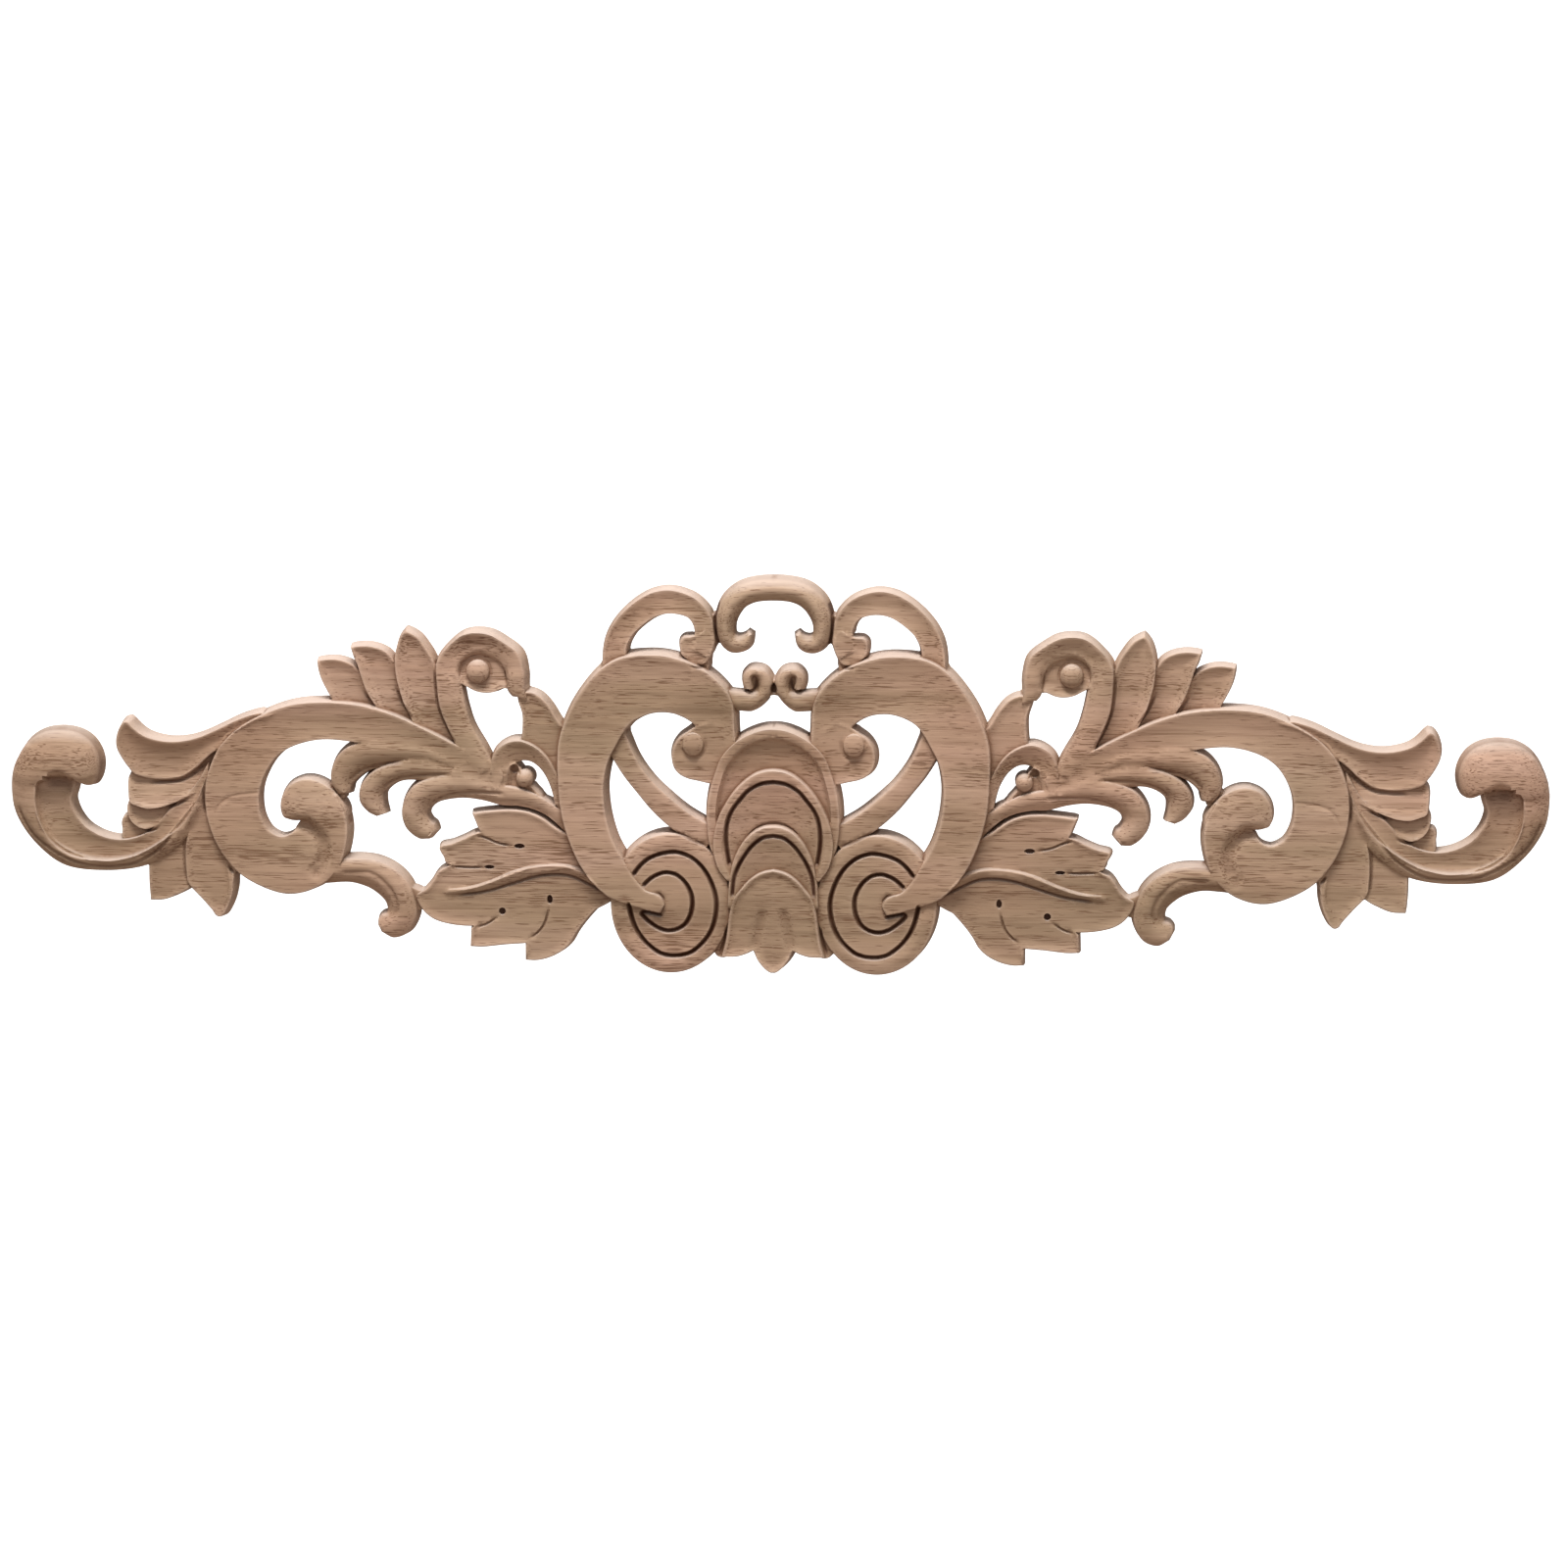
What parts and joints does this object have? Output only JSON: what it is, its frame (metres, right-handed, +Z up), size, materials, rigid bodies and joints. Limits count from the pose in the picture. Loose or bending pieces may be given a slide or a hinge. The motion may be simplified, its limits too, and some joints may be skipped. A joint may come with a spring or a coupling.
{
  "type": "carved crest onlay",
  "caption": "Long pierced wooden applique with mirrored scrolls, leaves and a central shell, flat on the back, fixed to furniture or a panel.",
  "frame": {"origin": "on the flat back, in the middle of the length and the height, behind the central shell", "axes": "+X along the length to the right, +Z up towards the crest ring, +Y out of the flat back, so the carving faces -Y"},
  "size_m": [0.5, 0.013, 0.1304],
  "materials": {
    "rubberwood": "raw, unfinished, finely sanded"
  },
  "bodies": {
    "root": {"carved_onlay": "rubberwood"}
  },
  "joints": []
}
